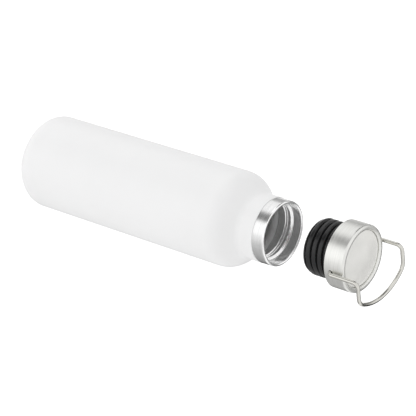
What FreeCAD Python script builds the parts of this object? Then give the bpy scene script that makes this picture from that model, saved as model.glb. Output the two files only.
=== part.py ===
import FreeCAD, Part
import math
import os

# Insulated water bottle with a screw cap and a wire bail.
# Frame: millimetres, +Z from the base to the mouth, origin at the centre of the foot ring.
# The cap is lifted off and hangs in line above the mouth. The bail turns about an axis along X.

from FreeCAD import Vector

# ---------------------------------------------------------------- driving sizes
# Bottle, outside
BODY_RADIUS = 36.5          # over the coating
BOTTLE_HEIGHT = 232.0       # foot to lip
BASE_EDGE_RADIUS = 12.6     # steel, at the foot
SHOULDER_DEPTH = 45.0       # lip down to where the straight body ends
SHOULDER_RADIUS = 20.7      # convex bend over the coating
SHOULDER_SLOPE = 42.0       # degrees from the axis, less where the step is too small for both bends
NECK_RADIUS = 24.9          # over the coating
NECK_FILLET = 8.0           # concave bend over the coating
RING_HEIGHT = 10.2          # bare steel ring at the mouth

# Bottle, walls and spaces
COAT = 0.3                  # powder coating
COAT_END_ANGLE = 70.0       # degrees round the base edge where the coating stops
OUTER_WALL = 0.5
BASE_WALL = 0.6
INNER_WALL = 0.5
FOIL = 0.2
VACUUM_GAP = 2.7            # between the walls of the body
NECK_GAP = 1.2              # between the walls of the neck
INNER_FILLET = 9.0          # concave bend under the inner neck
INNER_BASE_EDGE = 10.0      # bend of the inner base
BASE_SPACE = 4.4            # from the outer base plate up to the inner base
SLEEVE_WALL = 0.6
SLEEVE_LENGTH = 20.0        # threaded sleeve below the lip ring
LIP_HEIGHT = 1.6

# Base details
FOOT_WIDTH = 3.1            # flat of the foot ring
RECESS_DEPTH = 3.0          # base plate above the foot
RECESS_BEND = 1.5
DIMPLE_RADIUS = 4.5
DIMPLE_DEPTH = 1.2
VENT_RADIUS = 1.0
SEAL_EDGE_GAP = 0.6         # glass seal to the rim of the dimple
SEAL_HEIGHT = 0.8
COVER_THICKNESS = 0.6
COVER_EDGE_GAP = 0.3        # cover to the step of the recess
ADHESIVE = 0.3
ADHESIVE_WIDTH = 9.0
ADHESIVE_INSET = 0.4        # back from the edge of what it holds
GETTER_RADIUS = 4.0
GETTER_HEIGHT = 2.0
GETTER_EDGE_GAP = 2.5       # getter to the step of the base plate
CLIP_THICKNESS = 0.3
CLIP_WIDTH = 4.0
CLIP_FOOT = 2.5

# Screw thread, right hand, one start
LEAD = 5.0
THREAD_TURNS = 2.0          # rolled bead in the mouth
THREAD_TOP = 6.8            # lip to the upper end of the bead
THREAD_PHASE = 320.0        # degrees round the axis where the bead's upper end lies
BEAD_RADIUS = 1.3           # round bead
BEAD_HEIGHT = 1.8           # bead above the sleeve's bore
BEAD_SINK = 0.4             # how deep the bead's root lies in the sleeve's wall
THREAD_CLEARANCE = 0.15     # extra radius of the plug's groove beside the bead
ROOT_CLEARANCE = 0.5        # bead crest to the plug's groove floor
THREAD_OVERLAP = 0.5        # how far the plug's crest reaches past the bead's crest

# Cap
LIFT = 53.0                 # how far above its closed place the cap hangs
CLOSED_GAP = 0.5            # shell edge to lip when screwed shut
CAP_OVERHANG = 0.4          # shell past the mouth ring
CAP_HEIGHT = 16.0
SHELL_WALL = 0.6
RIM_WIDTH = 3.9
RIM_BEND = 1.8              # rim's outer bend
RIM_INNER_BEND = 1.5        # rim's bend down to the recess
RECESS_FLOOR = 2.8          # recess floor below the rim
DISC_THICKNESS = 0.8
DISC_EDGE_GAP = 0.2
DISC_EDGE_BEND = 0.4
FIT_GAP = 0.1               # plastic core inside the shell
FLANGE_TOP = 9.4            # from the shell's lower edge
PLUG_LENGTH = 22.8          # below the shell's lower edge
PLUG_TAPER = 3.0            # height of the tapered pilot
PLUG_TAPER_DEPTH = 3.2      # how much narrower its end is
PLUG_WALL = 4.2             # under the gasket's neck
PLUG_FLOOR = 2.6
LID_SPIGOT = 3.0
FOAM_GAP = 0.2
GASKET_THICKNESS = 2.0
GASKET_EDGE_GAP = 0.3
GASKET_EDGE_BEND = 0.5
GASKET_GROOVE = 0.3         # gap between the gasket and the plug's neck and flange
PLUG_NECK_STEP = 0.2        # plug's neck below the groove floor

# Bail
WIRE_RADIUS = 1.45
PIVOT_HEIGHT = 5.5          # above the shell's lower edge
LEG_GAP = 1.05              # shell to leg
FINGER_GAP = 12.65          # cap top to loop
BOW_CLEARANCE = 1.5         # how far the bow's centre line reaches past the shell
BOW_RISE = 10.0             # rise of the bow between the lines of the legs
CORNER_BEND = 8.0
LEG_BEND = 4.2
EYE_BEND = 2.6
WIRE_END_GAP = 1.2          # wire's end short of the bush's inner end
WIRE_CLEARANCE = 0.05       # running fit in the bush
BUSH_WALL = 1.3
BUSH_DEPTH = 5.0
SHELL_HOLE_GAP = 0.45       # shell hole round the wire

# ---------------------------------------------------------------- derived places
SHOULDER_START = BOTTLE_HEIGHT - SHOULDER_DEPTH
STEEL_RADIUS = BODY_RADIUS - COAT
STEEL_NECK = NECK_RADIUS - COAT
BASE_CENTRE_R = STEEL_RADIUS - BASE_EDGE_RADIUS
COAT_TOP = BOTTLE_HEIGHT - RING_HEIGHT
WALL_TOP = BOTTLE_HEIGHT - LIP_HEIGHT
RECESS_STEP = BASE_CENTRE_R - FOOT_WIDTH - 2 * RECESS_BEND      # where the recessed plate begins
COVER_RADIUS = RECESS_STEP - COVER_EDGE_GAP
PLATE_TOP = RECESS_DEPTH + BASE_WALL
DIMPLE_TOP = RECESS_DEPTH + DIMPLE_DEPTH
DIMPLE_END = DIMPLE_RADIUS - DIMPLE_DEPTH
GETTER_PLACE = RECESS_STEP - GETTER_RADIUS - GETTER_EDGE_GAP
INNER_RADIUS = STEEL_RADIUS - OUTER_WALL - VACUUM_GAP
INNER_SHOULDER = SHOULDER_RADIUS - (BODY_RADIUS - INNER_RADIUS)
INNER_BOTTOM = PLATE_TOP + BASE_SPACE
INNER_BASE_TOP = INNER_BOTTOM + INNER_BASE_EDGE
SLEEVE_OUTER = STEEL_NECK - OUTER_WALL - NECK_GAP
SLEEVE_BORE = SLEEVE_OUTER - SLEEVE_WALL
SLEEVE_BOTTOM = WALL_TOP - SLEEVE_LENGTH
BEAD_CREST = SLEEVE_BORE - BEAD_HEIGHT
CREST_RADIUS = BEAD_CREST + THREAD_OVERLAP
ROOT_RADIUS = BEAD_CREST - ROOT_CLEARANCE
PLUG_NECK_RADIUS = ROOT_RADIUS - PLUG_NECK_STEP
PLUG_BORE = PLUG_NECK_RADIUS - PLUG_WALL
PLUG_END_RADIUS = CREST_RADIUS - PLUG_TAPER_DEPTH
GROOVE_RADIUS = BEAD_RADIUS + THREAD_CLEARANCE
HELIX_ORIGIN = BOTTLE_HEIGHT - THREAD_TOP - LEAD * THREAD_PHASE / 360.0

CAP_RADIUS = STEEL_NECK + CAP_OVERHANG
EDGE = BOTTLE_HEIGHT + CLOSED_GAP + LIFT      # lower edge of the cap shell
CAP_TOP = EDGE + CAP_HEIGHT
FLOOR_TOP = CAP_TOP - RECESS_FLOOR
FLOOR_UNDER = FLOOR_TOP - SHELL_WALL
RECESS_RADIUS = CAP_RADIUS - RIM_WIDTH
CORE_RADIUS = CAP_RADIUS - SHELL_WALL - FIT_GAP
GASKET_TOP = EDGE + GASKET_THICKNESS
FLANGE_UNDER = GASKET_TOP + GASKET_GROOVE
PLUG_END = EDGE - PLUG_LENGTH
PIVOT_Z = EDGE + PIVOT_HEIGHT
BUSH_BORE = WIRE_RADIUS + WIRE_CLEARANCE
BUSH_RADIUS = BUSH_BORE + BUSH_WALL
BUSH_OUTER = math.sqrt(CORE_RADIUS ** 2 - BUSH_RADIUS ** 2)
BUSH_INNER = BUSH_OUTER - BUSH_DEPTH
WIRE_END = BUSH_INNER + WIRE_END_GAP
LEG_PLACE = CAP_RADIUS + LEG_GAP + WIRE_RADIUS
LOOP_Z = CAP_TOP + FINGER_GAP + WIRE_RADIUS
LOOP_REACH = CAP_RADIUS + BOW_CLEARANCE
BOW_RADIUS = (LEG_PLACE ** 2 + BOW_RISE ** 2) / (2 * BOW_RISE)

CUT_PAST = 1.0              # how far a cutter runs past what it cuts
SAME_POINT = 1e-6           # below this two points are the same


# ---------------------------------------------------------------- helpers
def at(radius, height):
    """A point of an outline, in the XZ plane."""
    return Vector(radius, 0, height)


def line(a, b):
    return Part.LineSegment(a, b).toShape()


def bend(centre, radius, start, end):
    """An arc in the XZ plane about centre, between two angles in degrees from +X towards +Z."""
    middle = (start + end) / 2.0
    on = [centre + Vector(radius * math.cos(math.radians(a)), 0, radius * math.sin(math.radians(a)))
          for a in (start, middle, end)]
    return Part.Arc(*on).toShape()


def first(edge):
    return edge.valueAt(edge.FirstParameter)


def last(edge):
    return edge.valueAt(edge.LastParameter)


def joined(edges, closed=True):
    """Edges in order, with straight runs added where two of them don't meet."""
    out = [edges[0]]
    for edge in edges[1:]:
        if last(out[-1]).distanceToPoint(first(edge)) > SAME_POINT:
            out.append(line(last(out[-1]), first(edge)))
        out.append(edge)
    if closed and last(out[-1]).distanceToPoint(first(out[0])) > SAME_POINT:
        out.append(line(last(out[-1]), first(out[0])))
    return Part.Wire(out)


def polyline(points):
    return [line(a, b) for a, b in zip(points, points[1:])]


def spun(edges):
    """The solid that a closed outline makes when it is turned about Z."""
    return Part.Face(joined(edges)).revolve(Vector(0, 0, 0), Vector(0, 0, 1), 360)


def between(outer, inner):
    """A wall: one outline going up outside, the other coming down inside."""
    back = [line(last(e), first(e)) if e.Curve.TypeId == "Part::GeomLine" else reversed_arc(e)
            for e in reversed(inner)]
    return spun(outer + back)


def reversed_arc(edge):
    middle = edge.valueAt((edge.FirstParameter + edge.LastParameter) / 2.0)
    return Part.Arc(last(edge), middle, first(edge)).toShape()


def ring(inner, outer, low, high):
    return spun(polyline([at(inner, low), at(outer, low), at(outer, high), at(inner, high)]))


def disc(radius, low, high):
    return Part.makeCylinder(radius, high - low, Vector(0, 0, low))


def helix_height(angle):
    """Height of the thread's centre line at an angle about Z, in degrees."""
    return HELIX_ORIGIN + LEAD * angle / 360.0


def thread_rod(radius, centre_radius, start, turns):
    """A round rod wound on the thread's helix, from the angle start and upwards."""
    helix = Part.makeHelix(LEAD, LEAD * turns, centre_radius)
    along = Vector(0, 1, LEAD / (2 * math.pi * centre_radius))
    section = Part.Wire(Part.Circle(Vector(centre_radius, 0, 0), along, radius).toShape())
    rod = Part.Wire(helix.Edges).makePipeShell([section], True, True)
    rod.rotate(Vector(0, 0, 0), Vector(0, 0, 1), start)
    rod.translate(Vector(0, 0, helix_height(start)))
    return rod


def helix_ball(radius, centre_radius, angle):
    """A ball on the thread's centre line, which rounds the end of a bead or groove."""
    turn = math.radians(angle)
    place = Vector(centre_radius * math.cos(turn), centre_radius * math.sin(turn), helix_height(angle))
    return Part.makeSphere(radius, place)


def flask_side(radius, shoulder, fillet, neck, low, high):
    """Outline of a body, shoulder and neck from low to high."""
    both = shoulder + fillet
    steepest = math.acos(max(1 - (radius - neck) / both, 0))
    slope = min(math.radians(SHOULDER_SLOPE), steepest)
    degrees = math.degrees(slope)
    run = max(radius - neck - both * (1 - math.cos(slope)), 0) / math.sin(slope)
    upper = at(radius - shoulder, SHOULDER_START)
    over = bend(upper, shoulder, 0, degrees)
    end = last(over) + Vector(-run * math.sin(slope), 0, run * math.cos(slope))
    lower = end + Vector(fillet * math.cos(slope), 0, fillet * math.sin(slope))
    under = bend(lower, fillet, 180 + degrees, 180)
    straight = [line(last(over), first(under))] if run > SAME_POINT else []
    return [line(at(radius, low), first(over)), over, *straight, under, line(last(under), at(neck, high))]


# ---------------------------------------------------------------- bottle
def body_coating():
    """White powder coating on the steel, from the base edge up to the bare ring."""
    centre = at(BASE_CENTRE_R, BASE_EDGE_RADIUS)
    outer = [bend(centre, BASE_EDGE_RADIUS + COAT, -COAT_END_ANGLE, 0)]
    outer += flask_side(BODY_RADIUS, SHOULDER_RADIUS, NECK_FILLET, NECK_RADIUS, BASE_EDGE_RADIUS, COAT_TOP)
    inner = [bend(centre, BASE_EDGE_RADIUS, -COAT_END_ANGLE, 0)]
    inner += flask_side(STEEL_RADIUS, SHOULDER_RADIUS - COAT, NECK_FILLET + COAT, STEEL_NECK,
                        BASE_EDGE_RADIUS, COAT_TOP)
    return between(outer, inner)


def outer_shell():
    outer = flask_side(STEEL_RADIUS, SHOULDER_RADIUS - COAT, NECK_FILLET + COAT, STEEL_NECK,
                       BASE_EDGE_RADIUS, WALL_TOP)
    inset = COAT + OUTER_WALL
    inner = flask_side(STEEL_RADIUS - OUTER_WALL, SHOULDER_RADIUS - inset, NECK_FILLET + inset,
                       STEEL_NECK - OUTER_WALL, BASE_EDGE_RADIUS, WALL_TOP)
    return between(outer, inner)


def outer_base():
    """Base cup: rounded edge, flat foot ring, recessed plate and a dimple with the evacuation hole."""
    foot_in = BASE_CENTRE_R - FOOT_WIDTH
    centre = at(BASE_CENTRE_R, BASE_EDGE_RADIUS)
    rise = at(foot_in, RECESS_BEND)
    turn = at(foot_in - 2 * RECESS_BEND, RECESS_DEPTH - RECESS_BEND)
    outside = [bend(centre, BASE_EDGE_RADIUS, 0, -90),
               bend(rise, RECESS_BEND, -90, -180),
               bend(turn, RECESS_BEND, 0, 90)]
    outside += polyline([at(DIMPLE_RADIUS, RECESS_DEPTH), at(DIMPLE_END, DIMPLE_TOP),
                         at(VENT_RADIUS, DIMPLE_TOP)])
    inside = polyline([at(VENT_RADIUS, DIMPLE_TOP + BASE_WALL),
                       at(DIMPLE_END + BASE_WALL / 2, DIMPLE_TOP + BASE_WALL),
                       at(DIMPLE_RADIUS + BASE_WALL / 2, PLATE_TOP)])
    inside += [bend(turn, RECESS_BEND + BASE_WALL, 90, 0),
               bend(rise, RECESS_BEND - BASE_WALL, -180, -90),
               bend(centre, BASE_EDGE_RADIUS - BASE_WALL, -90, 0)]
    return spun(outside + inside)


def vacuum_seal():
    """Glass bead in the dimple, over the evacuation hole."""
    low = DIMPLE_TOP - SEAL_HEIGHT
    wide = DIMPLE_END - SEAL_EDGE_GAP
    narrow = wide - SEAL_HEIGHT
    return spun(polyline([at(0, low), at(narrow, low), at(wide, DIMPLE_TOP), at(0, DIMPLE_TOP)]))


def cover_adhesive():
    outer = COVER_RADIUS - ADHESIVE_INSET
    return ring(outer - ADHESIVE_WIDTH, outer, RECESS_DEPTH - ADHESIVE, RECESS_DEPTH)


def base_cover():
    """Plain disc over the seal, with a rounded edge."""
    top = RECESS_DEPTH - ADHESIVE
    low = top - COVER_THICKNESS
    half = COVER_THICKNESS / 2
    edge = bend(at(COVER_RADIUS - half, low + half), half, -90, 90)
    return spun([line(at(0, low), first(edge)), edge, line(last(edge), at(0, top))])


def getter():
    return Part.makeCylinder(GETTER_RADIUS, GETTER_HEIGHT, Vector(GETTER_PLACE, 0, PLATE_TOP))


def getter_clip():
    """Strap over the getter, with a foot each side on the base plate."""
    top = PLATE_TOP + GETTER_HEIGHT
    inner = GETTER_RADIUS
    outer = inner + CLIP_THICKNESS
    reach = outer + CLIP_FOOT
    bottom = PLATE_TOP
    sole = PLATE_TOP + CLIP_THICKNESS
    roof = top + CLIP_THICKNESS
    side = [(-reach, bottom), (-inner, bottom), (-inner, top), (inner, top), (inner, bottom), (reach, bottom),
            (reach, sole), (outer, sole), (outer, roof), (-outer, roof), (-outer, sole), (-reach, sole)]
    x = GETTER_PLACE - CLIP_WIDTH / 2
    points = [Vector(x, y, z) for y, z in side]
    face = Part.Face(Part.makePolygon(points + points[:1]))
    return face.extrude(Vector(CLIP_WIDTH, 0, 0))


def inner_flask():
    outer = flask_side(INNER_RADIUS, INNER_SHOULDER, INNER_FILLET, SLEEVE_OUTER,
                       INNER_BASE_TOP, SLEEVE_BOTTOM)
    inner = flask_side(INNER_RADIUS - INNER_WALL, INNER_SHOULDER - INNER_WALL, INNER_FILLET + INNER_WALL,
                       SLEEVE_OUTER - INNER_WALL, INNER_BASE_TOP, SLEEVE_BOTTOM)
    return between(outer, inner)


def inner_base():
    centre = at(INNER_RADIUS - INNER_BASE_EDGE, INNER_BASE_TOP)
    outside = bend(centre, INNER_BASE_EDGE, 0, -90)
    inside = bend(centre, INNER_BASE_EDGE - INNER_WALL, -90, 0)
    return spun([outside, line(last(outside), at(0, INNER_BOTTOM)),
                 line(at(0, INNER_BOTTOM), at(0, INNER_BOTTOM + INNER_WALL)),
                 line(at(0, INNER_BOTTOM + INNER_WALL), first(inside)), inside])


def copper_foil():
    return ring(INNER_RADIUS, INNER_RADIUS + FOIL, INNER_BASE_TOP, SHOULDER_START)


def threaded_mouth():
    """Sleeve with a round bead rolled into its bore on the thread's helix."""
    start = THREAD_PHASE - 360.0 * THREAD_TURNS
    centre = BEAD_CREST + BEAD_RADIUS
    sleeve = ring(SLEEVE_BORE, SLEEVE_OUTER, SLEEVE_BOTTOM, WALL_TOP)
    bead = thread_rod(BEAD_RADIUS, centre, start, THREAD_TURNS)
    ends = [helix_ball(BEAD_RADIUS, centre, start), helix_ball(BEAD_RADIUS, centre, THREAD_PHASE)]
    wall = ring(BEAD_CREST - CUT_PAST, SLEEVE_BORE + BEAD_SINK, SLEEVE_BOTTOM, WALL_TOP)
    return sleeve.fuse(bead.multiFuse(ends).common(wall)).removeSplitter()


def lip_ring():
    """Rounded lip that joins the two necks."""
    outer = STEEL_NECK
    inner = SLEEVE_BORE
    half = (outer - inner) / 2
    rise = min(half, LIP_HEIGHT)
    foot = BOTTLE_HEIGHT - rise
    top = Part.Arc(at(outer, foot), at(outer - half, BOTTLE_HEIGHT), at(inner, foot))
    return spun([line(at(inner, WALL_TOP), at(outer, WALL_TOP)),
                 line(at(outer, WALL_TOP), at(outer, foot)), top.toShape()])


# ---------------------------------------------------------------- cap
def cap_shell():
    """Drawn cup: plain side, rounded raised rim and a recessed floor, one wall thick."""
    wall = SHELL_WALL
    over = at(CAP_RADIUS - RIM_BEND, CAP_TOP - RIM_BEND)
    down = at(RECESS_RADIUS + RIM_INNER_BEND, CAP_TOP - RIM_INNER_BEND)
    outside = [line(at(CAP_RADIUS, EDGE), at(CAP_RADIUS, CAP_TOP - RIM_BEND)),
               bend(over, RIM_BEND, 0, 90),
               bend(down, RIM_INNER_BEND, 90, 180)]
    outside += polyline([at(RECESS_RADIUS, FLOOR_TOP), at(0, FLOOR_TOP), at(0, FLOOR_UNDER),
                         at(RECESS_RADIUS + wall, FLOOR_UNDER)])
    inside = [bend(down, RIM_INNER_BEND - wall, 180, 90),
              bend(over, RIM_BEND - wall, 90, 0),
              line(at(CAP_RADIUS - wall, CAP_TOP - RIM_BEND), at(CAP_RADIUS - wall, EDGE))]
    shell = spun(outside + inside)
    return shell.cut(pivot_rod(WIRE_RADIUS + SHELL_HOLE_GAP, BUSH_INNER, CAP_RADIUS + CUT_PAST))


def pivot_rod(radius, inner, outer):
    """A rod on the pivot axis each side of the cap."""
    length = outer - inner
    right = Part.makeCylinder(radius, length, Vector(inner, 0, PIVOT_Z), Vector(1, 0, 0))
    left = Part.makeCylinder(radius, length, Vector(-inner, 0, PIVOT_Z), Vector(-1, 0, 0))
    return right.fuse(left)


def disc_adhesive():
    return disc(RECESS_RADIUS - DISC_EDGE_GAP - ADHESIVE_INSET, FLOOR_TOP, FLOOR_TOP + ADHESIVE)


def top_disc():
    """Satin disc in the recess, with a small rounded edge."""
    low = FLOOR_TOP + ADHESIVE
    top = low + DISC_THICKNESS
    radius = RECESS_RADIUS - DISC_EDGE_GAP
    edge = bend(at(radius - DISC_EDGE_BEND, top - DISC_EDGE_BEND), DISC_EDGE_BEND, 0, 90)
    return spun([line(at(0, low), at(radius, low)), line(at(radius, low), first(edge)), edge,
                 line(last(edge), at(0, top))])


def core_lid():
    """Lid that closes the plug and backs the shell's floor."""
    plate = disc(CORE_RADIUS - RIM_WIDTH, EDGE + FLANGE_TOP, FLOOR_UNDER)
    spigot = disc(PLUG_BORE - FIT_GAP, EDGE + FLANGE_TOP - LID_SPIGOT, EDGE + FLANGE_TOP)
    return plate.fuse(spigot).removeSplitter()


def threaded_plug():
    """Plug with a wide flange, a neck for the gasket, a groove for the mouth's bead and a tapered end."""
    barrel_top = EDGE - GASKET_GROOVE
    plug = spun(polyline([at(0, PLUG_END), at(PLUG_END_RADIUS, PLUG_END),
                          at(CREST_RADIUS, PLUG_END + PLUG_TAPER),
                          at(CREST_RADIUS, barrel_top), at(0, barrel_top)]))
    start = 360.0 * (PLUG_END - LEAD - HELIX_ORIGIN) / LEAD
    turns = math.ceil((barrel_top - PLUG_END) / LEAD) + 2
    for turn in range(turns):
        plug = plug.cut(thread_rod(GROOVE_RADIUS, ROOT_RADIUS + GROOVE_RADIUS, start + 360.0 * turn, 1))
    neck = disc(PLUG_NECK_RADIUS, barrel_top, FLANGE_UNDER)
    flange = disc(CORE_RADIUS, FLANGE_UNDER, EDGE + FLANGE_TOP)
    plug = plug.multiFuse([neck, flange])
    plug = plug.cut(disc(PLUG_BORE, PLUG_END + PLUG_FLOOR, EDGE + FLANGE_TOP + CUT_PAST))
    return plug.cut(pivot_rod(BUSH_RADIUS, BUSH_INNER, CORE_RADIUS + CUT_PAST)).removeSplitter()


def foam_core():
    return disc(PLUG_BORE - FOAM_GAP, PLUG_END + PLUG_FLOOR, EDGE + FLANGE_TOP - LID_SPIGOT)


def gasket():
    """Silicone ring under the flange, loose on the plug's neck."""
    outer = CAP_RADIUS - SHELL_WALL - GASKET_EDGE_GAP
    inner = PLUG_NECK_RADIUS + GASKET_GROOVE
    soft = GASKET_EDGE_BEND
    lower = bend(at(outer - soft, EDGE + soft), soft, -90, 0)
    upper = bend(at(outer - soft, GASKET_TOP - soft), soft, 0, 90)
    return spun([line(at(inner, EDGE), first(lower)), lower, line(last(lower), first(upper)), upper,
                 line(last(upper), at(inner, GASKET_TOP))])


def bush(side):
    """Bush on one side: side is +1 or -1 along X."""
    start = Vector(side * BUSH_INNER, 0, PIVOT_Z)
    way = Vector(side, 0, 0)
    outer = Part.makeCylinder(BUSH_RADIUS, BUSH_DEPTH, start, way)
    bore = Part.makeCylinder(BUSH_BORE, BUSH_DEPTH + 2 * CUT_PAST, start - way * CUT_PAST, way)
    return outer.cut(bore)


# ---------------------------------------------------------------- bail
def corner_arc(before, corner, after, radius):
    """Arc of a radius that rounds a corner between two straight runs."""
    a = (before - corner).normalize()
    b = (after - corner).normalize()
    half = a.getAngle(b) / 2
    reach = radius / math.tan(half)
    middle_way = (a + b).normalize()
    centre = corner + middle_way * (radius / math.sin(half))
    return Part.Arc(corner + a * reach, centre - middle_way * radius, corner + b * reach).toShape()


def bail_half(side):
    """Edges from the wire's end on one side up the leg and out to the bow."""
    end = Vector(side * WIRE_END, 0, PIVOT_Z)
    eye = Vector(side * LEG_PLACE, 0, PIVOT_Z)
    knee = Vector(side * LEG_PLACE, 0, LOOP_Z)
    bow_centre_y = LOOP_REACH - BOW_RADIUS
    corner_x = LEG_PLACE - CORNER_BEND
    corner_y = math.sqrt((BOW_RADIUS - CORNER_BEND) ** 2 - corner_x ** 2) + bow_centre_y
    way = Vector(side * corner_x, corner_y - bow_centre_y, 0).normalize()
    meets = Vector(0, bow_centre_y, LOOP_Z) + way * BOW_RADIUS
    leaves = Vector(side * LEG_PLACE, corner_y, LOOP_Z)
    centre = Vector(side * corner_x, corner_y, LOOP_Z)
    middle_way = (way + Vector(side, 0, 0)).normalize()
    corner = Part.Arc(leaves, centre + middle_way * CORNER_BEND, meets).toShape()
    eye_arc = corner_arc(end, eye, knee, EYE_BEND)
    knee_arc = corner_arc(eye, knee, leaves, LEG_BEND)
    run_in = line(end, first(eye_arc))
    return [run_in, eye_arc, knee_arc, corner]


def bail_wire():
    """Round wire: in at each pivot, up the legs, then bent square into a bowed loop."""
    right = bail_half(1)
    left = [reversed_arc(e) if e.Curve.TypeId != "Part::GeomLine" else line(last(e), first(e))
            for e in reversed(bail_half(-1))]
    bow = Part.Arc(last(right[-1]), Vector(0, LOOP_REACH, LOOP_Z), first(left[0])).toShape()
    path = joined(right + [bow] + left, closed=False)
    section = Part.Wire(Part.Circle(first(right[0]), Vector(1, 0, 0), WIRE_RADIUS).toShape())
    return path.makePipeShell([section], True, False)


# ---------------------------------------------------------------- write
NODES = {
    "body_coating": body_coating,
    "outer_shell": outer_shell,
    "outer_base": outer_base,
    "vacuum_seal": vacuum_seal,
    "cover_adhesive": cover_adhesive,
    "base_cover": base_cover,
    "getter": getter,
    "getter_clip": getter_clip,
    "inner_flask": inner_flask,
    "inner_base": inner_base,
    "copper_foil": copper_foil,
    "threaded_mouth": threaded_mouth,
    "lip_ring": lip_ring,
    "cap_shell": cap_shell,
    "disc_adhesive": disc_adhesive,
    "top_disc": top_disc,
    "core_lid": core_lid,
    "threaded_plug": threaded_plug,
    "foam_core": foam_core,
    "gasket": gasket,
    "bush_right": lambda: bush(1),
    "bush_left": lambda: bush(-1),
    "bail_wire": bail_wire,
}

os.makedirs("parts", exist_ok=True)
for name, make in NODES.items():
    shape = make()
    if len(shape.Solids) != 1 or not shape.isValid():
        raise RuntimeError(f"{name}: {len(shape.Solids)} solids, valid {shape.isValid()}")
    shape = shape.Solids[0]
    shape.exportStep(f"parts/{name}.step")
    box = shape.BoundBox
    print(f"{name:15s} volume {shape.Volume:10.1f} mm3, height {box.ZMin:7.2f} to {box.ZMax:7.2f} mm")
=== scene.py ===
# %% [markdown]
# # An insulated steel water bottle with its cap off
# The bottle is a white powder-coated steel flask with a bare steel ring at the mouth. Its cap hangs in
# line above the mouth: a drawn steel cup over a black threaded plug, with a bent wire bail to carry it.
# The design model already holds every size, so this file loads it first and then works on what the
# eye sees: finishes, rounded edges, grooves and moulded detail.

# %% load the design model
import math

import bmesh
import bpy
from mathutils import Matrix, Quaternion, Vector


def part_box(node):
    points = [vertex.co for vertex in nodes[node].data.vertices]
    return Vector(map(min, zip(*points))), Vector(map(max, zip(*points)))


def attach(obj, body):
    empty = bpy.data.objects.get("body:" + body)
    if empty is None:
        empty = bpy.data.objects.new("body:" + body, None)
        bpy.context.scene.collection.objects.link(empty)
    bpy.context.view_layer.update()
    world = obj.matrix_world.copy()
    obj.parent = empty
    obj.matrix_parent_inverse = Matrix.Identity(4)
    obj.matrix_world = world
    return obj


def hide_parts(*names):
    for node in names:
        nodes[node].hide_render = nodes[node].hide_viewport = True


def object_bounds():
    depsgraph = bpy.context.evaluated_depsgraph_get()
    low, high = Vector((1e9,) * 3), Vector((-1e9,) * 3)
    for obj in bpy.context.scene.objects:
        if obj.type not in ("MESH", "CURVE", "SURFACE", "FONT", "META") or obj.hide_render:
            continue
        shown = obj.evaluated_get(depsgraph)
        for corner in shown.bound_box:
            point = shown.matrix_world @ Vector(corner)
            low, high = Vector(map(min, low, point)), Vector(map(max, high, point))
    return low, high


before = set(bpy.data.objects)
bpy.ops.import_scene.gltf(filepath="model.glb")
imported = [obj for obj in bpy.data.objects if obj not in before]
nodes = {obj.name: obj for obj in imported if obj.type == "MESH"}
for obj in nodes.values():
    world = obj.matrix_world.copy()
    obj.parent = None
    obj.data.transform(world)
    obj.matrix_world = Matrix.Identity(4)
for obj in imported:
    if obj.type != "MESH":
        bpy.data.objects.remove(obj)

design_low, design_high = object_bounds()
MM = 0.001
print("pieces in the design:", len(nodes), "height in mm:", round(design_high.z / MM, 1))

# %% [markdown]
# ## The studio
# White steel on white needs a floor and a background that stay nearly white, so both give off a little
# light of their own, as a light table does. The floor still takes a soft shadow.
# The camera looks down on the bottle and is rolled, so that the bottle lies across the picture. A
# quaternion does this in two plain steps: look along the line of sight, then turn about it. The long
# lens keeps both ends of the bottle nearly the same size, and "Standard" colour leaves white white.

# %% the floor
FLOOR_SIZE = 8.0            # in metres
PAPER_WHITE = 0.8
PAPER_ROUGHNESS = 0.9
PAPER_GLOW = 0.5

bpy.ops.mesh.primitive_plane_add(size=FLOOR_SIZE, location=(0, 0, design_low.z))
floor = bpy.context.object
floor.name = "studio_floor"
floor.visible_glossy = False
paper = bpy.data.materials.new("white paper")
paper.use_nodes = True
paper_shader = paper.node_tree.nodes["Principled BSDF"]
paper_shader.inputs["Base Color"].default_value = (PAPER_WHITE, PAPER_WHITE, PAPER_WHITE, 1)
paper_shader.inputs["Roughness"].default_value = PAPER_ROUGHNESS
paper_shader.inputs["Specular IOR Level"].default_value = 0.0
paper_shader.inputs["Emission Color"].default_value = (1, 1, 1, 1)
paper_shader.inputs["Emission Strength"].default_value = PAPER_GLOW
floor.data.materials.append(paper)
print("floor at", round(design_low.z / MM, 2), "mm")

# %% the camera
AZIMUTH, ELEVATION, ROLL = 50.90, 35.00, 107.68
CAMERA_PLACE = Vector((0.9390, -0.7647, 1.0097))      # in metres
SENSOR, LENS = 36.0, 172.9                          # in mm

around, above = math.radians(AZIMUTH), math.radians(ELEVATION)
backwards = Vector((math.sin(around) * math.cos(above), -math.cos(around) * math.cos(above),
                    math.sin(above)))
camera = bpy.data.objects.new("studio_camera", bpy.data.cameras.new("studio_camera"))
bpy.context.scene.collection.objects.link(camera)
camera.location = CAMERA_PLACE
camera.rotation_mode = "QUATERNION"
upright = (-backwards).to_track_quat("-Z", "Y")
camera.rotation_quaternion = upright @ Quaternion((0, 0, 1), math.radians(ROLL))
camera.data.sensor_width = SENSOR
camera.data.lens = LENS
bpy.context.scene.camera = camera
bpy.context.scene.view_settings.view_transform = "Standard"
print("camera distance in mm:", round(CAMERA_PLACE.length / MM))

# %% [markdown]
# ## Nodes in a few words
# World and materials are node trees. Each node is a line or two of code: its kind, and what feeds each
# of its inputs, which is another node's socket or a plain number. Three small helpers name what is
# needed again and again: a step of arithmetic, a stretched range and a value between two others.

# %% helpers for nodes
def add(tree, kind, inputs=None, **properties):
    """Adds a node. inputs gives each input the socket that feeds it, or its plain value."""
    node = tree.nodes.new(kind)
    for name, value in properties.items():
        setattr(node, name, value)
    for name, source in (inputs or {}).items():
        if isinstance(source, bpy.types.NodeSocket):
            tree.links.new(source, node.inputs[name])
        else:
            node.inputs[name].default_value = source
    return node


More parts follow.
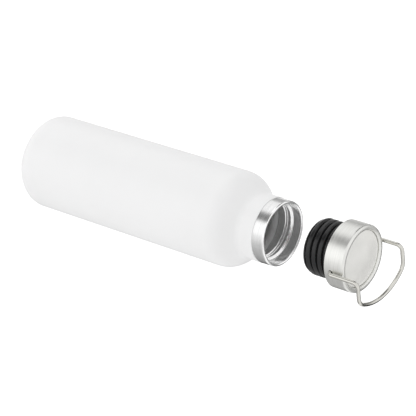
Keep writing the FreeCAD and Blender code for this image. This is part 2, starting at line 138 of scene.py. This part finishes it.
def arithmetic(tree, operation, first, second):
    """One step of arithmetic, such as ADD or MULTIPLY."""
    return add(tree, "ShaderNodeMath", {0: first, 1: second}, operation=operation).outputs[0]


def stretched(tree, source, low, high, to_low=0.0, to_high=1.0, curve="LINEAR"):
    """A value that runs from low to high, made to run from to_low to to_high and held at both ends."""
    limits = {"Value": source, "From Min": low, "From Max": high, "To Min": to_low, "To Max": to_high}
    return add(tree, "ShaderNodeMapRange", limits, interpolation_type=curve).outputs["Result"]


def between(tree, share, first, second):
    """A value between two others: the first where share is 0, the second where it is 1."""
    return add(tree, "ShaderNodeMix", {0: share, 2: first, 3: second}, data_type="FLOAT").outputs[0]


print("node helpers ready")

# %% [markdown]
# ## The light
# The bottle stands in a tent of white cloth, which lights it evenly from all sides. Steel has hardly a
# colour of its own: it mirrors what stands round it, and an even tent would leave it flat and grey. So
# reflections alone see more in the tent's wall: soft panels with darker gaps, which draw the bands on
# the steel, a dark flag at one side, another under the roof, and a lamp. The panels are a colour ramp
# over the heading round the vertical, and higher up they fade into the roof.

# %% the tent and what metal mirrors in it
PANELS = [(-180, 0.62), (-162, 0.52), (-145, 1.4), (-98, 1.5), (-84, 0.4), (-66, 0.28), (-50, 1.7),
          (-18, 1.7), (0, 1.25), (30, 0.85), (60, 0.68), (100, 0.45), (122, 0.1), (142, 0.1), (153, 1.3),
          (168, 1.4), (180, 0.62)]
EVEN_LIGHT = 1.15           # what the walls of the tent give to everything that isn't a reflection
SKY_IN_METAL = 1.3          # the tent's roof, as metal mirrors it
WALL_TOP = (-0.1, 0.35)     # between these heights of a unit direction the panels fade into the roof
CLOTH_WHITE = 0.8
# Round patches: which way they hang, the cosines where they end and are full, and their level.
ROOF_FLAG = (Vector((-0.636, 0.517, -0.574)), 0.22, 0.5, 0.04)
SIDE_FLAG = (Vector((-0.653, -0.751, -0.1)), 0.927, 0.97, 0.04)
LAMP = (Vector((-0.035, 0.994, -0.1)), 0.885, 0.95, 1.3)
BACKGROUND_SEEN = 1.25      # what the camera sees of it: plain white


def patch(tree, ray, way, edge, full, level, elsewhere):
    """A round patch of one level in a direction, over whatever is elsewhere."""
    near = add(tree, "ShaderNodeVectorMath", {0: ray, 1: way}, operation="DOT_PRODUCT").outputs["Value"]
    return between(tree, stretched(tree, near, edge, full, curve="SMOOTHSTEP"), elsewhere, level)


def ring_of_panels(tree, heading):
    """The panels' level at a heading in radians."""
    ramp = add(tree, "ShaderNodeValToRGB", {"Fac": stretched(tree, heading, -math.pi, math.pi)})
    ramp.color_ramp.interpolation = "EASE"
    marks = ramp.color_ramp.elements
    while len(marks) < len(PANELS):
        marks.new(0.5)
    brightest = max(level for _, level in PANELS)
    for mark, (degrees, level) in zip(marks, PANELS):
        mark.position = (degrees + 180) / 360
        mark.color = (level / brightest,) * 3 + (1,)
    return arithmetic(tree, "MULTIPLY", ramp.outputs["Color"], brightest)


def studio_world():
    """The tent: panels for reflections, even light for all else, and plain white for the camera."""
    world = bpy.data.worlds.new("soft panels")
    world.use_nodes = True
    tree = world.node_tree
    tree.nodes.clear()
    ray = add(tree, "ShaderNodeTexCoord").outputs["Generated"]
    parts = add(tree, "ShaderNodeSeparateXYZ", {"Vector": ray}).outputs
    panels = ring_of_panels(tree, arithmetic(tree, "ARCTAN2", parts["Y"], parts["X"]))
    climb = stretched(tree, parts["Z"], *WALL_TOP, curve="SMOOTHSTEP")
    mirrored = between(tree, climb, panels, patch(tree, ray, *ROOF_FLAG, SKY_IN_METAL))
    for hung in (SIDE_FLAG, LAMP):
        mirrored = patch(tree, ray, *hung, mirrored)
    path = add(tree, "ShaderNodeLightPath").outputs
    light = between(tree, path["Is Glossy Ray"], EVEN_LIGHT, mirrored)
    strength = between(tree, path["Is Camera Ray"], light, BACKGROUND_SEEN)
    cloth = (CLOTH_WHITE, CLOTH_WHITE, CLOTH_WHITE, 1)
    back = add(tree, "ShaderNodeBackground", {"Color": cloth, "Strength": strength})
    add(tree, "ShaderNodeOutputWorld", {"Surface": back.outputs[0]})
    return world


bpy.context.scene.world = studio_world()
print("panels:", len(PANELS))

# %% [markdown]
# ## Fine lines round the axis
# The ring, the cap and the flask are finished while they turn in a lathe against an abrasive belt, so
# their scratches run round the axis. A noise stretched along the turn gives such lines. The group
# measures each point's direction from the axis, which has no seam, and moves fast only with height
# and radius. One group serves every turned piece, and each gives it its own fineness.

# %% group: turned lines
def new_group(name, inputs, outputs):
    """An empty shader group with named sockets."""
    group = bpy.data.node_groups.new(name, "ShaderNodeTree")
    for socket, default in inputs.items():
        made = group.interface.new_socket(socket, in_out="INPUT", socket_type="NodeSocketFloat")
        made.default_value = default
    for socket in outputs:
        group.interface.new_socket(socket, in_out="OUTPUT", socket_type="NodeSocketFloat")
    return group, add(group, "NodeGroupInput").outputs, add(group, "NodeGroupOutput").inputs


LINE_KINDS = {"Lines": (1.0, 3.0), "Streaks": (0.12, 1.0)}      # share of the fineness, and detail


def turned_lines():
    """Lines round Z: how many to a metre, and how much they wander on their way round."""
    group, given, result = new_group("turned lines", {"Fineness": 9000.0, "Wander": 2.0}, LINE_KINDS)
    place = add(group, "ShaderNodeTexCoord").outputs["Object"]
    apart = add(group, "ShaderNodeSeparateXYZ", {"Vector": place}).outputs
    flat = add(group, "ShaderNodeCombineXYZ", {"X": apart["X"], "Y": apart["Y"]}).outputs[0]
    radius = add(group, "ShaderNodeVectorMath", {0: flat}, operation="LENGTH").outputs["Value"]
    way = add(group, "ShaderNodeVectorMath", {0: flat}, operation="NORMALIZE").outputs[0]
    way_parts = add(group, "ShaderNodeSeparateXYZ", {"Vector": way}).outputs
    across = arithmetic(group, "ADD", apart["Z"], radius)
    slow = {axis: arithmetic(group, "MULTIPLY", way_parts[axis], given["Wander"]) for axis in "XY"}
    for output, (share, detail) in LINE_KINDS.items():
        pitch = arithmetic(group, "MULTIPLY", given["Fineness"], share)
        fast = arithmetic(group, "MULTIPLY", across, pitch)
        at = add(group, "ShaderNodeCombineXYZ", {**slow, "Z": fast}).outputs[0]
        noise = add(group, "ShaderNodeTexNoise", {"Vector": at, "Scale": 1.0, "Detail": detail})
        group.links.new(noise.outputs["Fac"], result[output])
    return group


LINES = turned_lines()
print("group:", LINES.name, [socket.name for socket in LINES.interface.items_tree])

# %% [markdown]
# ## Clouds and grain
# Nothing real is the same all over. Clouds a few centimetres wide change the gloss a little, as
# handling and cleaning do. Grain is the small roundness of powder that melted and flowed, or the
# etched skin of a plastic mould.

# %% group: clouds and grain
NOISE_DETAIL = {"Clouds": ("Cloud scale", 3.0), "Grain": ("Grain scale", 2.0)}


def clouds_and_grain():
    """Slow clouds for gloss and colour, and fine grain for bump. Both scales are lumps to a metre."""
    scales = {"Cloud scale": 25.0, "Grain scale": 1200.0}
    group, given, result = new_group("clouds and grain", scales, NOISE_DETAIL)
    place = add(group, "ShaderNodeTexCoord").outputs["Object"]
    for output, (scale, detail) in NOISE_DETAIL.items():
        noise = add(group, "ShaderNodeTexNoise", {"Vector": place, "Scale": given[scale],
                                                  "Detail": detail})
        group.links.new(noise.outputs["Fac"], result[output])
    return group


CLOUDS = clouds_and_grain()
print("group:", CLOUDS.name)

# %% [markdown]
# ## What all materials share
# Each material starts from the standard shader, with its constant values set on the shader itself.
# Noise seldom leaves the range from 0.3 to 0.7, so that range is stretched over the roughness or the
# colour that a finish may have.

# %% helpers for materials
NOISE_RANGE = (0.3, 0.7)


def blank(name, colour, roughness, metallic=0.0, **sockets):
    """A material, its tree and its shader, with constant values on the shader's own sockets."""
    made = bpy.data.materials.new(name)
    made.use_nodes = True
    shader = made.node_tree.nodes["Principled BSDF"]
    shader.inputs["Base Color"].default_value = (*colour, 1)
    shader.inputs["Roughness"].default_value = roughness
    shader.inputs["Metallic"].default_value = metallic
    for socket, value in sockets.items():
        shader.inputs[socket.replace("_", " ")].default_value = value
    return made, made.node_tree, shader


def pattern(tree, group, **values):
    """The outputs of a group that is placed in a material with its own values."""
    inputs = {socket.replace("_", " "): value for socket, value in values.items()}
    return add(tree, "ShaderNodeGroup", inputs, node_tree=group).outputs


def vary_colour(tree, shader, noise, colour, darkest, lightest):
    """Lets the base colour drift between two shares of itself."""
    ends = [(*(min(channel * share, 1.0) for channel in colour), 1) for share in (darkest, lightest)]
    share = stretched(tree, noise, *NOISE_RANGE)
    mixed = add(tree, "ShaderNodeMix", {0: share, 6: ends[0], 7: ends[1]}, data_type="RGBA")
    tree.links.new(mixed.outputs[2], shader.inputs["Base Color"])


def vary_roughness(tree, shader, noise, smoothest, roughest):
    """Lets the roughness drift between two values."""
    tree.links.new(stretched(tree, noise, *NOISE_RANGE, smoothest, roughest), shader.inputs["Roughness"])


def bump(tree, shader, height, strength, depth):
    """Bumps that are depth high, in metres."""
    node = add(tree, "ShaderNodeBump", {"Height": height, "Strength": strength, "Distance": depth})
    tree.links.new(node.outputs["Normal"], shader.inputs["Normal"])


print("material helpers ready")

# %% [markdown]
# ## Turned steel
# All the bare steel on the bottle is the same metal with a different finish: how rough it is, how fine
# the lines are and how deep. Brushing stretches a reflection across the lines, which the shader calls
# anisotropy. Its tangent runs round the axis, like the belt did. A pure mirror
# inside the flask and the mouth shows little but its own dark inside, so some of the light is made to
# scatter there, which keeps those faces pale.

# %% materials: turned steel
TURNED_STEELS = {
    # colour, roughness, brushing, lines to a metre, their depth in metres, and share of metal
    "ring steel": ((0.78, 0.78, 0.78), 0.2, 0.45, 9000, 0.000012, 1.0),
    "lip steel": ((0.88, 0.88, 0.88), 0.14, 0.2, 6000, 0.000004, 1.0),
    "inner steel": ((0.92, 0.92, 0.92), 0.38, 0.3, 4000, 0.000012, 0.2),
    "thread steel": ((0.95, 0.95, 0.95), 0.16, 0.1, 5000, 0.000006, 0.8),
    "base steel": ((0.7, 0.7, 0.69), 0.3, 0.5, 5000, 0.000015, 1.0),
    "cap steel": ((0.8, 0.8, 0.775), 0.33, 0.5, 8000, 0.000012, 1.0),
}


def turned_steel(name, colour, roughness, brushing, fineness, depth, metallic):
    """Steel with fine lines round the axis, in its colour, its gloss and its bumps."""
    made, tree, shader = blank(name, colour, roughness, metallic, Anisotropic=brushing)
    lines = pattern(tree, LINES, Fineness=fineness)
    clouds = pattern(tree, CLOUDS, Cloud_scale=30.0)
    both = between(tree, clouds["Clouds"], lines["Streaks"], lines["Lines"])
    vary_colour(tree, shader, lines["Streaks"], colour, 0.94, 1.05)
    vary_roughness(tree, shader, both, roughness * 0.85, roughness * 1.2)
    bump(tree, shader, lines["Lines"], 0.35, depth)
    round_axis = add(tree, "ShaderNodeTangent", direction_type="RADIAL", axis="Z")
    tree.links.new(round_axis.outputs[0], shader.inputs["Tangent"])
    return made


FINISHES = {name: turned_steel(name, *values) for name, values in TURNED_STEELS.items()}
print("turned finishes:", list(FINISHES))

# %% [markdown]
# ## Satin disc
# The disc in the cap is blasted with glass beads, so it has no lines but a fine even grain. Its stamping
# leaves it very slightly uneven, which shows only as slow clouds in the gloss.

# %% material: satin disc
def satin_steel():
    """Steel blasted with beads: an even grain under slow clouds of gloss."""
    colour = (0.93, 0.925, 0.895)
    made, tree, shader = blank("satin steel", colour, 0.42, 0.4)
    grain = pattern(tree, CLOUDS, Cloud_scale=60.0, Grain_scale=5000.0)
    vary_colour(tree, shader, grain["Clouds"], colour, 0.96, 1.02)
    vary_roughness(tree, shader, grain["Clouds"], 0.38, 0.46)
    bump(tree, shader, grain["Grain"], 0.25, 0.00002)
    return made


FINISHES["satin steel"] = satin_steel()
print("finishes:", len(FINISHES))

# %% [markdown]
# ## Powder coating
# Powder is sprayed on dry and baked until it melts. It flows into a film about as thick as card, with a
# soft even texture and an egg-shell gloss. Two sizes of grain make the texture: one is the size of the
# melted lumps and the other is finer. The colour hardly changes, because pigment is mixed all through.

# %% material: powder coating
def powder_coating():
    """White baked powder: two sizes of grain in a soft gloss."""
    colour = (0.83, 0.83, 0.832)
    made, tree, shader = blank("powder coating", colour, 0.48, IOR=1.5)
    coarse = pattern(tree, CLOUDS, Cloud_scale=18.0, Grain_scale=900.0)
    fine = pattern(tree, CLOUDS, Cloud_scale=200.0, Grain_scale=3200.0)
    vary_colour(tree, shader, coarse["Clouds"], colour, 0.985, 1.01)
    vary_roughness(tree, shader, fine["Grain"], 0.42, 0.54)
    bump(tree, shader, arithmetic(tree, "ADD", coarse["Grain"], fine["Grain"]), 0.3, 0.00005)
    return made


FINISHES["powder coating"] = powder_coating()
print("finishes:", len(FINISHES))

# %% [markdown]
# ## Drawn wire
# The bail is drawn through a die, so its marks run along the wire and polishing has nearly removed
# them. What is left is a bright finish with a few faint soft patches.

# %% material: polished wire
def polished_wire():
    """Bright drawn wire with a few soft patches."""
    colour = (0.66, 0.65, 0.61)
    made, tree, shader = blank("polished wire", colour, 0.1, 1.0)
    grain = pattern(tree, CLOUDS, Cloud_scale=250.0, Grain_scale=2500.0)
    vary_colour(tree, shader, grain["Clouds"], colour, 0.93, 1.02)
    vary_roughness(tree, shader, grain["Clouds"], 0.07, 0.14)
    bump(tree, shader, grain["Grain"], 0.1, 0.000008)
    return made


FINISHES["polished wire"] = polished_wire()
print("finishes:", len(FINISHES))

# %% [markdown]
# ## Moulded and soft materials
# The plug is injection moulded in black polypropylene: a satin skin with a fine grain, and slow changes
# of tone and gloss where the melt flowed. The bushes are a harder black plastic, the gasket is milky
# silicone, and the foam, tape, foil, getter and glass inside each get their own grain.

# %% materials: plastic, silicone and the hidden pieces
def grained(name, colour, low, high, lumps, depth, metallic=0.0, vary=0.08, **sockets):
    """Adds a finish: roughness from low to high in clouds, over a grain of so many lumps to a metre."""
    made, tree, shader = blank(name, colour, (low + high) / 2, metallic, **sockets)
    grain = pattern(tree, CLOUDS, Cloud_scale=70.0, Grain_scale=lumps)
    vary_colour(tree, shader, grain["Clouds"], colour, 1 - vary, 1 + vary)
    vary_roughness(tree, shader, grain["Clouds"], low, high)
    bump(tree, shader, grain["Grain"], 0.3, depth)
    FINISHES[name] = made


grained("plug plastic", (0.009, 0.009, 0.0095), 0.18, 0.28, 2500, 0.00002, vary=0.15,
        Specular_IOR_Level=0.4)
grained("bush plastic", (0.03, 0.03, 0.03), 0.3, 0.4, 3000, 0.00001)
grained("milky silicone", (0.6, 0.6, 0.58), 0.4, 0.5, 1800, 0.00001, Subsurface_Weight=0.4,
        Subsurface_Scale=0.002)
grained("foam", (0.8, 0.76, 0.62), 0.8, 0.95, 900, 0.0003)
grained("tape", (0.75, 0.74, 0.7), 0.55, 0.7, 2000, 0.00005)
grained("copper foil", (0.72, 0.38, 0.24), 0.2, 0.32, 250, 0.0002, metallic=1.0)
grained("getter metal", (0.25, 0.25, 0.26), 0.5, 0.7, 3000, 0.00008, metallic=1.0)
grained("solder glass", (0.12, 0.2, 0.17), 0.08, 0.15, 800, 0.00002)
print("finishes:", len(FINISHES))

# %% [markdown]
# ## Dressing the design's own pieces
# Most pieces of the design already have the true shape, so they stay and only change their finish.

# %% which piece has which finish
DRESSING = {
    "body_coating": "powder coating", "outer_shell": "ring steel", "outer_base": "base steel",
    "vacuum_seal": "solder glass", "cover_adhesive": "tape", "base_cover": "base steel",
    "getter": "getter metal", "getter_clip": "inner steel", "inner_flask": "inner steel",
    "inner_base": "inner steel", "copper_foil": "copper foil", "threaded_mouth": "thread steel",
    "lip_ring": "lip steel", "cap_shell": "cap steel", "disc_adhesive": "tape", "top_disc": "satin steel",
    "core_lid": "plug plastic", "threaded_plug": "plug plastic", "foam_core": "foam",
    "gasket": "milky silicone", "bush_right": "bush plastic", "bush_left": "bush plastic",
    "bail_wire": "polished wire",
}
for node, finish in DRESSING.items():
    for slot in nodes[node].material_slots:
        slot.material = FINISHES[finish]
print("dressed:", len(DRESSING), "of", len(nodes))

# %% [markdown]
# ## Drawing a section with a pen
# A turned piece is a section that is spun once round the axis. The section itself is drawn as a maker
# would draw it: start at a point, run straight, bend by so many degrees, run on. Each run extrudes one
# vertex and each bend spins it about the bend's own centre, so every curve is a true arc.

# %% the pen and the lathe
BEND_STEPS_PER_TURN = 60
TURN_PARTS = 192
SHARP_ANGLE = 32.0


def draw(section, moves):
    """Draws an outline in the XZ plane and gives back its first and last vertex.

    The moves are start (x, z), face (degrees), run (to x, z) and bend (radius, degrees, left if
    positive), in mm.
    """
    first = tip = None
    for move, *numbers in moves:
        if move == "start":
            first = tip = section.verts.new((numbers[0] * MM, 0, numbers[1] * MM))
            way = Vector((0, 0, 1))
        elif move == "face":
            way = Vector((math.cos(math.radians(numbers[0])), 0, math.sin(math.radians(numbers[0]))))
        elif move == "run":
            target = Vector((numbers[0] * MM, 0, numbers[1] * MM))
            grown = bmesh.ops.extrude_vert_indiv(section, verts=[tip])["verts"]
            bmesh.ops.translate(section, verts=grown, vec=target - tip.co)
            way = (target - tip.co).normalized()
            tip = grown[0]
        elif move == "bend":
            radius, degrees = numbers
            left = Vector((-way.z, 0, way.x)) * math.copysign(radius * MM, degrees)
            steps = max(3, round(abs(degrees) / 360 * BEND_STEPS_PER_TURN))
            grown = bmesh.ops.spin(section, geom=[tip], cent=tip.co + left, axis=(0, -1, 0),
                                   angle=math.radians(degrees), steps=steps)["geom_last"]
            tip = next(part for part in grown if isinstance(part, bmesh.types.BMVert))
            way.rotate(Quaternion((0, -1, 0), math.radians(degrees)))
    return first, tip


def spin_round(section):
    """Spins a section once round Z, welds it and turns its faces outwards."""
    bmesh.ops.spin(section, geom=section.verts[:] + section.edges[:], cent=(0, 0, 0), axis=(0, 0, 1),
                   angle=math.tau, steps=TURN_PARTS, use_merge=True)
    bmesh.ops.remove_doubles(section, verts=section.verts[:], dist=1e-6)
    bmesh.ops.recalc_face_normals(section, faces=section.faces[:])
    return section


def piece(name, shape, finish, body, slot, *stands_for):
    """Makes the object: smooth but for real corners, on its body and in place of its design node."""
    mesh = bpy.data.meshes.new(name)
    shape.to_mesh(mesh)
    shape.free()
    mesh.shade_smooth()
    mesh.set_sharp_from_angle(angle=math.radians(SHARP_ANGLE))
    made = bpy.data.objects.new(name, mesh)
    bpy.context.scene.collection.objects.link(made)
    mesh.materials.append(FINISHES[finish])
    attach(made, body)
    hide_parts(*stands_for)
    print(name, "has", len(mesh.polygons), "faces")
    return made


def extent(node):
    """A node's lowest and highest corner in mm."""
    low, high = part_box(node)
    return low / MM, high / MM


# %% [markdown]
# ## The screw thread
# Mouth and plug share one right-hand thread: a bead rolled into the steel, and a groove in the plug
# that runs over it. Both follow the same endless helix, so a point's distance from the nearest turn is
# all that either needs. The bead is a soft wave, as rolled steel is, and it fades out at both ends.

# %% the thread's helix, in mm
LEAD = 5.0                  # height of one turn
BEAD_TOP = 6.8              # lip down to the bead's upper end
BEAD_TURNS = 2.0
BEAD_PHASE = 320.0          # where the bead's upper end lies, in degrees round the axis
lip_height = extent("lip_ring")[1].z
helix_zero = lip_height - BEAD_TOP - LEAD * BEAD_PHASE / 360.0


def from_helix(point):
    """How far a point in metres lies above the nearest turn, in mm, and how far up that turn is."""
    share = math.atan2(point.y, point.x) / math.tau
    turns = (point.z / MM - helix_zero) / LEAD - share
    return (turns - round(turns)) * LEAD, round(turns) + share


def smooth(value):
    """A soft step from 0 to 1, held at both ends."""
    value = min(max(value, 0.0), 1.0)
    return value * value * (3 - 2 * value)


def push_out(vert, radius_now, radius_new):
    """Moves a vertex straight towards or away from the axis."""
    vert.co.x *= radius_new / radius_now
    vert.co.y *= radius_new / radius_now


print("one turn is", LEAD, "mm; the helix crosses +X at", round(helix_zero, 2), "mm")

# %% [markdown]
# ## The threaded mouth
# The sleeve inside the neck is thin steel with the bead rolled into it. A cylinder with a separate rod
# on it would show a hard corner at the rod's foot, which rolling never leaves. So the bore is spun as a
# fine grid of rings, and each vertex near the helix is pushed inwards by the wave's height there.

# %% piece: threaded mouth
SLEEVE_WALL = 0.6
BEAD_HEIGHT = 1.8
BEAD_HALF_WIDTH = 1.4
BEAD_FADE = 0.09            # turns over which an end fades out
BORE_ROWS = 110


def threaded_mouth():
    """The sleeve: a fine bore with the bead pushed in, and plain other faces."""
    low, high = extent("threaded_mouth")
    outer = high.x
    bore = outer - SLEEVE_WALL
    section = bmesh.new()
    draw(section, [("start", bore, low.z), ("run", bore, high.z)])
    bmesh.ops.subdivide_edges(section, edges=section.edges[:], cuts=BORE_ROWS)
    draw(section, [("start", bore, high.z), ("run", outer, high.z), ("run", outer, low.z),
                   ("run", bore, low.z)])
    shape = spin_round(section)
    last_turn = BEAD_PHASE / 360.0
    for vert in shape.verts:
        radius = math.hypot(vert.co.x, vert.co.y)
        away, turn = from_helix(vert.co)
        if radius > (bore + SLEEVE_WALL / 2) * MM or abs(away) > BEAD_HALF_WIDTH:
            continue
        ends = smooth((last_turn - turn) / BEAD_FADE) * smooth((turn - last_turn + BEAD_TURNS) / BEAD_FADE)
        wave = 0.5 + 0.5 * math.cos(math.pi * away / BEAD_HALF_WIDTH)
        push_out(vert, radius, radius - BEAD_HEIGHT * MM * wave * ends)
    return piece("rolled_thread_mouth", shape, "thread steel", "bottle", "inner_steel", "threaded_mouth")


threaded_mouth()

# %% [markdown]
# ## The plug
# The plug is one moulding: a hollow barrel with wide rounded ribs between narrow grooves, a plain neck
# for the gasket and a flange that fills the steel cup. Its end has a shallow ring-shaped recess, which
# keeps the wall even, and a soft bevelled edge that finds its way into the mouth. The two blind holes
# for the bail's bushes run across the axis, so no spin can make them: a Boolean cuts them, as a drill
# would, where the design has its bushes.

# %% a drill
DRILL_SIDES = 64
DRILL_PAST = 1.0            # how far a drill sticks out of the flange, in mm


def drilled(shape, drills):
    """Cuts the drills' shape out of another shape and gives back what is left."""
    graph_objects = []
    for name, form in (("workpiece", shape), ("drill", drills)):
        made = bpy.data.objects.new(name, bpy.data.meshes.new(name))
        form.to_mesh(made.data)
        form.free()
        bpy.context.scene.collection.objects.link(made)
        graph_objects.append(made)
    workpiece, drill = graph_objects
    cutter = workpiece.modifiers.new("drill", "BOOLEAN")
    cutter.operation = "DIFFERENCE"
    cutter.solver = "EXACT"
    cutter.object = drill
    left = bmesh.new()
    left.from_object(workpiece, bpy.context.evaluated_depsgraph_get())
    for made in graph_objects:
        bpy.data.meshes.remove(made.data)
    return left


def bush_drills():
    """Two plain cylinders, from each bush's inner end to past the flange."""
    drills = bmesh.new()
    for node in ("bush_right", "bush_left"):
        low, high = extent(node)
        side = math.copysign(1.0, low.x)
        inner = min(abs(low.x), abs(high.x))
        outer = extent("threaded_plug")[1].x + DRILL_PAST
        radius = (high.z - low.z) / 2 * MM
        middle = Vector((side * (inner + outer) / 2, 0, (low.z + high.z) / 2)) * MM
        across = Matrix.Translation(middle) @ Matrix.Rotation(math.radians(90), 4, "Y")
        bmesh.ops.create_cone(drills, cap_ends=True, segments=DRILL_SIDES, radius1=radius,
                              radius2=radius, depth=(outer - inner) * MM, matrix=across)
    return drills


print("drills ready")

# %% piece: plug
PLUG_CREST = 21.0
PLUG_NECK = 19.8
PLUG_BORE = 15.6
PLUG_FLOOR = 2.6
# The end from the axis outwards: a dimple, a flat, the ring-shaped recess and the rim, each point with
# its radius and its height above the rim.
END_OUTLINE = [(0, 0.9), (3.2, 0.9), (4.0, 0.3), (9.5, 0.3), (10.2, 1.1), (14.0, 1.1), (14.8, 0), (17.3, 0)]
END_HEIGHT = 4.2            # rim up to where the barrel is fully wide
END_ROWS = 12
END_BEND = 2.6
END_BEVEL = 62.0            # degrees that the end's edge turns before it runs straight
GROOVE_DEPTH = 1.9
GROOVE_HALF_WIDTH = 0.75    # where the groove has lost two thirds of its depth
BARREL_ROWS = 120
GASKET_SEAT = 2.3           # flange above the shell's lower edge
BARREL_END = 0.3            # barrel below the shell's lower edge


def threaded_plug():
    """The plug: its outline from the end up over the barrel and back down the bore, then the thread."""
    low, high = extent("threaded_plug")
    edge = extent("cap_shell")[0].z
    end, flange, core = low.z, high.z, high.x
    barrel_top = edge - BARREL_END
    first, *rest = [(radius, end + height) for radius, height in END_OUTLINE]
    section = bmesh.new()
    _, tip = draw(section, [("start", *first), *(("run", *point) for point in rest),
                            ("bend", END_BEND, END_BEVEL), ("run", PLUG_CREST, end + END_HEIGHT)])
    bmesh.ops.subdivide_edges(section, edges=tip.link_edges[:], cuts=END_ROWS)
    _, tip = draw(section, [("start", PLUG_CREST, end + END_HEIGHT), ("run", PLUG_CREST, barrel_top)])
    bmesh.ops.subdivide_edges(section, edges=tip.link_edges[:], cuts=BARREL_ROWS)
    draw(section, [
        ("start", PLUG_CREST, barrel_top), ("run", PLUG_NECK, barrel_top),
        ("run", PLUG_NECK, edge + GASKET_SEAT), ("run", core, edge + GASKET_SEAT), ("run", core, flange),
        ("run", PLUG_BORE, flange), ("run", PLUG_BORE, end + PLUG_FLOOR), ("run", 0, end + PLUG_FLOOR)])
    shape = spin_round(section)
    for vert in shape.verts:
        radius = math.hypot(vert.co.x, vert.co.y)
        if radius < (PLUG_NECK + 0.01) * MM or vert.co.z > (edge - BARREL_END / 2) * MM:
            continue
        away, _ = from_helix(vert.co)
        groove = PLUG_CREST - GROOVE_DEPTH * math.exp(-(away / GROOVE_HALF_WIDTH) ** 2)
        if groove * MM < radius:
            push_out(vert, radius, groove * MM)
    return piece("ribbed_plug", drilled(shape, bush_drills()), "plug plastic", "cap", "black_plastic",
                 "threaded_plug")


threaded_plug()

# %% [markdown]
# ## The gasket
# The gasket is a flat silicone ring with two small rounded ridges on its lower face. The ridges press
# into the lip, which seals with far less force than a flat face would need.

# %% piece: gasket
GASKET_BORE = 20.1
RIDGE = 0.45                # radius of each half-round ridge
RIDGE_MIDDLES = (22.1, 23.4)
GASKET_CORNER = 0.3


def gasket():
    """A flat ring with rounded upper corners and two ridges below."""
    low, high = extent("gasket")
    face = low.z + RIDGE
    moves = [("start", GASKET_BORE, high.z - GASKET_CORNER), ("run", GASKET_BORE, face)]
    for middle in RIDGE_MIDDLES:
        moves += [("run", middle - RIDGE, face), ("face", -90), ("bend", RIDGE, 180)]
    moves += [("run", high.x, face), ("run", high.x, high.z - GASKET_CORNER), ("bend", GASKET_CORNER, 90),
              ("run", GASKET_BORE + GASKET_CORNER, high.z), ("bend", GASKET_CORNER, 90)]
    section = bmesh.new()
    draw(section, moves)
    return piece("ridged_gasket", spin_round(section), "milky silicone", "seal", "silicone", "gasket")


gasket()

# %% [markdown]
# ## The coating
# The coating is a skin of its own over the steel, from the base edge to the bare ring. Outside and
# inside are the same section, one coat apart, so both are drawn and joined at their ends, and then spun
# together. A small bevel rounds the two ends, because surface tension pulls melted powder back from a
# masked edge and leaves it round.

# %% piece: coating
COAT = 0.3
BASE_EDGE = 12.6            # steel's radius at the foot
BASE_WRAP = 70.0            # degrees that the coating reaches under the base
SHOULDER = 20.7
SLOPE = 42.0
NECK_FILLET = 8.0
SHOULDER_DEPTH = 45.0       # lip down to the end of the straight body
END_ROUND = 0.13            # how far each corner of the coat's two ends is rounded back


def coat_side(inset):
    """The section of the coating's outside, or of its inside when inset is the coat's thickness."""
    low, high = extent("body_coating")
    body, top = high.x - inset, high.z
    neck = extent("lip_ring")[1].x + COAT - inset
    base, shoulder, fillet = BASE_EDGE + COAT - inset, SHOULDER - inset, NECK_FILLET + inset
    slope, wrap = math.radians(SLOPE), math.radians(BASE_WRAP)
    shoulder_start = lip_height - SHOULDER_DEPTH
    rest = body - neck - (shoulder + fillet) * (1 - math.cos(slope))
    over = (body - shoulder * (1 - math.cos(slope)), shoulder_start + shoulder * math.sin(slope))
    under = (over[0] - rest, over[1] + rest / math.tan(slope))
    return [("start", body - base * (1 - math.cos(wrap)), BASE_EDGE - base * math.sin(wrap)),
            ("face", 90 - BASE_WRAP), ("bend", base, BASE_WRAP), ("run", body, shoulder_start),
            ("bend", shoulder, SLOPE), ("run", *under), ("bend", fillet, -SLOPE), ("run", neck, top)]


def coating():
    """Both sides of the coat in one outline, with rounded ends, spun together."""
    section = bmesh.new()
    outside = draw(section, coat_side(0.0))
    inside = draw(section, coat_side(COAT))
    for outer, inner in zip(outside, inside):
        section.edges.new((outer, inner))
    bmesh.ops.bevel(section, geom=[*outside, *inside], offset=END_ROUND * MM, segments=3, profile=0.5,
                    affect="VERTICES", material=-1)
    return piece("powder_skin", spin_round(section), "powder coating", "bottle", "powder_coat",
                 "body_coating")


coating()
